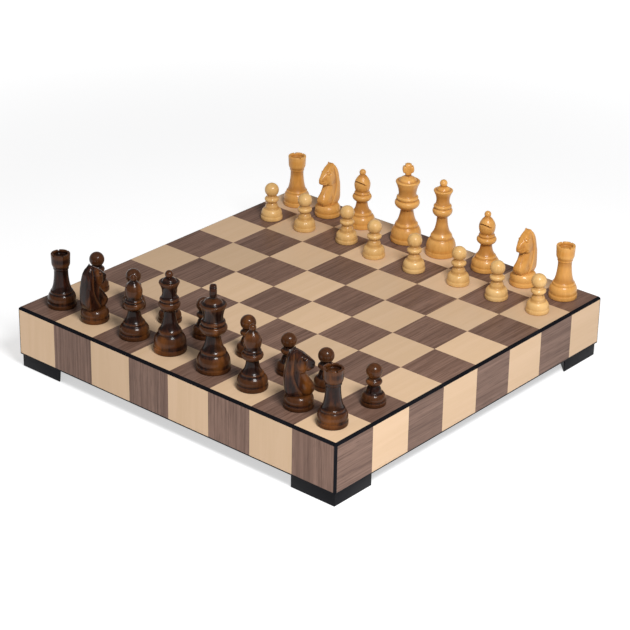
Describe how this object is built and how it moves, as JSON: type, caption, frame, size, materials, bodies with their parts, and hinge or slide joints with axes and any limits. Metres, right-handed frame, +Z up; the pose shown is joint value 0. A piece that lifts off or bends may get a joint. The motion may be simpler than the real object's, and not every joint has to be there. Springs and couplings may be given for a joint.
{
  "type": "chess set with board",
  "caption": "Square veneered chess box on corner feet with a lift-off chequered top, set up with turned dark and light wooden chess pieces.",
  "frame": {"origin": "centre of the board, on the surface that the feet stand on", "axes": "+Z up; +Y from the dark player's edge to the light player's edge; +X to the dark player's right, across the files"},
  "size_m": [0.38, 0.38, 0.1408],
  "materials": {
    "veneer": "satin chequered light and dark wood veneer",
    "black_lacquer": "satin black lacquered wood",
    "dark_wood": "gloss lacquered dark stained wood",
    "light_wood": "gloss lacquered honey coloured wood"
  },
  "bodies": {
    "case": {"base_panel": "black_lacquer", "wall_south": "veneer", "corner_strip_ne": "black_lacquer", "foot_ne": "black_lacquer", "wall_east": "veneer", "corner_strip_nw": "black_lacquer", "foot_nw": "black_lacquer", "wall_north": "veneer", "corner_strip_sw": "black_lacquer", "foot_sw": "black_lacquer", "wall_west": "veneer", "corner_strip_se": "black_lacquer", "foot_se": "black_lacquer"},
    "playing_top": {"edge_strip_south": "black_lacquer", "edge_strip_east": "black_lacquer", "edge_strip_north": "black_lacquer", "edge_strip_west": "black_lacquer", "top_panel": "veneer"},
    "dark_rook_a": {"dark_rook_a": "dark_wood"},
    "dark_knight_b": {"dark_knight_base_b": "dark_wood", "dark_knight_head_b": "dark_wood"},
    "dark_bishop_c": {"dark_bishop_c": "dark_wood"},
    "dark_queen": {"dark_queen": "dark_wood"},
    "dark_king": {"dark_king": "dark_wood", "dark_king_cross": "dark_wood"},
    "dark_bishop_f": {"dark_bishop_f": "dark_wood"},
    "dark_knight_g": {"dark_knight_base_g": "dark_wood", "dark_knight_head_g": "dark_wood"},
    "dark_rook_h": {"dark_rook_h": "dark_wood"},
    "dark_pawn_a": {"dark_pawn_a": "dark_wood"},
    "dark_pawn_b": {"dark_pawn_b": "dark_wood"},
    "dark_pawn_c": {"dark_pawn_c": "dark_wood"},
    "dark_pawn_d": {"dark_pawn_d": "dark_wood"},
    "dark_pawn_e": {"dark_pawn_e": "dark_wood"},
    "dark_pawn_f": {"dark_pawn_f": "dark_wood"},
    "dark_pawn_g": {"dark_pawn_g": "dark_wood"},
    "dark_pawn_h": {"dark_pawn_h": "dark_wood"},
    "light_rook_a": {"light_rook_a": "light_wood"},
    "light_knight_b": {"light_knight_base_b": "light_wood", "light_knight_head_b": "light_wood"},
    "light_bishop_c": {"light_bishop_c": "light_wood"},
    "light_king": {"light_king": "light_wood", "light_king_cross": "light_wood"},
    "light_queen": {"light_queen": "light_wood"},
    "light_bishop_f": {"light_bishop_f": "light_wood"},
    "light_knight_g": {"light_knight_base_g": "light_wood", "light_knight_head_g": "light_wood"},
    "light_rook_h": {"light_rook_h": "light_wood"},
    "light_pawn_a": {"light_pawn_a": "light_wood"},
    "light_pawn_b": {"light_pawn_b": "light_wood"},
    "light_pawn_c": {"light_pawn_c": "light_wood"},
    "light_pawn_d": {"light_pawn_d": "light_wood"},
    "light_pawn_e": {"light_pawn_e": "light_wood"},
    "light_pawn_f": {"light_pawn_f": "light_wood"},
    "light_pawn_g": {"light_pawn_g": "light_wood"},
    "light_pawn_h": {"light_pawn_h": "light_wood"}
  },
  "joints": [
    {"name": "playing_top_lift", "type": "slide", "parent": "case", "child": "playing_top", "axis": [0, 0, 1], "range_m": [0, 0.06]},
    {"name": "dark_rook_a_lift", "type": "slide", "parent": "playing_top", "child": "dark_rook_a", "axis": [0, 0, 1], "range_m": [0, 0.1]},
    {"name": "dark_knight_b_lift", "type": "slide", "parent": "playing_top", "child": "dark_knight_b", "axis": [0, 0, 1], "range_m": [0, 0.1]},
    {"name": "dark_bishop_c_lift", "type": "slide", "parent": "playing_top", "child": "dark_bishop_c", "axis": [0, 0, 1], "range_m": [0, 0.1]},
    {"name": "dark_queen_lift", "type": "slide", "parent": "playing_top", "child": "dark_queen", "axis": [0, 0, 1], "range_m": [0, 0.1]},
    {"name": "dark_king_lift", "type": "slide", "parent": "playing_top", "child": "dark_king", "axis": [0, 0, 1], "range_m": [0, 0.1]},
    {"name": "dark_bishop_f_lift", "type": "slide", "parent": "playing_top", "child": "dark_bishop_f", "axis": [0, 0, 1], "range_m": [0, 0.1]},
    {"name": "dark_knight_g_lift", "type": "slide", "parent": "playing_top", "child": "dark_knight_g", "axis": [0, 0, 1], "range_m": [0, 0.1]},
    {"name": "dark_rook_h_lift", "type": "slide", "parent": "playing_top", "child": "dark_rook_h", "axis": [0, 0, 1], "range_m": [0, 0.1]},
    {"name": "dark_pawn_a_lift", "type": "slide", "parent": "playing_top", "child": "dark_pawn_a", "axis": [0, 0, 1], "range_m": [0, 0.1]},
    {"name": "dark_pawn_b_lift", "type": "slide", "parent": "playing_top", "child": "dark_pawn_b", "axis": [0, 0, 1], "range_m": [0, 0.1]},
    {"name": "dark_pawn_c_lift", "type": "slide", "parent": "playing_top", "child": "dark_pawn_c", "axis": [0, 0, 1], "range_m": [0, 0.1]},
    {"name": "dark_pawn_d_lift", "type": "slide", "parent": "playing_top", "child": "dark_pawn_d", "axis": [0, 0, 1], "range_m": [0, 0.1]},
    {"name": "dark_pawn_e_lift", "type": "slide", "parent": "playing_top", "child": "dark_pawn_e", "axis": [0, 0, 1], "range_m": [0, 0.1]},
    {"name": "dark_pawn_f_lift", "type": "slide", "parent": "playing_top", "child": "dark_pawn_f", "axis": [0, 0, 1], "range_m": [0, 0.1]},
    {"name": "dark_pawn_g_lift", "type": "slide", "parent": "playing_top", "child": "dark_pawn_g", "axis": [0, 0, 1], "range_m": [0, 0.1]},
    {"name": "dark_pawn_h_lift", "type": "slide", "parent": "playing_top", "child": "dark_pawn_h", "axis": [0, 0, 1], "range_m": [0, 0.1]},
    {"name": "light_rook_a_lift", "type": "slide", "parent": "playing_top", "child": "light_rook_a", "axis": [0, 0, 1], "range_m": [0, 0.1]},
    {"name": "light_knight_b_lift", "type": "slide", "parent": "playing_top", "child": "light_knight_b", "axis": [0, 0, 1], "range_m": [0, 0.1]},
    {"name": "light_bishop_c_lift", "type": "slide", "parent": "playing_top", "child": "light_bishop_c", "axis": [0, 0, 1], "range_m": [0, 0.1]},
    {"name": "light_king_lift", "type": "slide", "parent": "playing_top", "child": "light_king", "axis": [0, 0, 1], "range_m": [0, 0.1]},
    {"name": "light_queen_lift", "type": "slide", "parent": "playing_top", "child": "light_queen", "axis": [0, 0, 1], "range_m": [0, 0.1]},
    {"name": "light_bishop_f_lift", "type": "slide", "parent": "playing_top", "child": "light_bishop_f", "axis": [0, 0, 1], "range_m": [0, 0.1]},
    {"name": "light_knight_g_lift", "type": "slide", "parent": "playing_top", "child": "light_knight_g", "axis": [0, 0, 1], "range_m": [0, 0.1]},
    {"name": "light_rook_h_lift", "type": "slide", "parent": "playing_top", "child": "light_rook_h", "axis": [0, 0, 1], "range_m": [0, 0.1]},
    {"name": "light_pawn_a_lift", "type": "slide", "parent": "playing_top", "child": "light_pawn_a", "axis": [0, 0, 1], "range_m": [0, 0.1]},
    {"name": "light_pawn_b_lift", "type": "slide", "parent": "playing_top", "child": "light_pawn_b", "axis": [0, 0, 1], "range_m": [0, 0.1]},
    {"name": "light_pawn_c_lift", "type": "slide", "parent": "playing_top", "child": "light_pawn_c", "axis": [0, 0, 1], "range_m": [0, 0.1]},
    {"name": "light_pawn_d_lift", "type": "slide", "parent": "playing_top", "child": "light_pawn_d", "axis": [0, 0, 1], "range_m": [0, 0.1]},
    {"name": "light_pawn_e_lift", "type": "slide", "parent": "playing_top", "child": "light_pawn_e", "axis": [0, 0, 1], "range_m": [0, 0.1]},
    {"name": "light_pawn_f_lift", "type": "slide", "parent": "playing_top", "child": "light_pawn_f", "axis": [0, 0, 1], "range_m": [0, 0.1]},
    {"name": "light_pawn_g_lift", "type": "slide", "parent": "playing_top", "child": "light_pawn_g", "axis": [0, 0, 1], "range_m": [0, 0.1]},
    {"name": "light_pawn_h_lift", "type": "slide", "parent": "playing_top", "child": "light_pawn_h", "axis": [0, 0, 1], "range_m": [0, 0.1]}
  ]
}
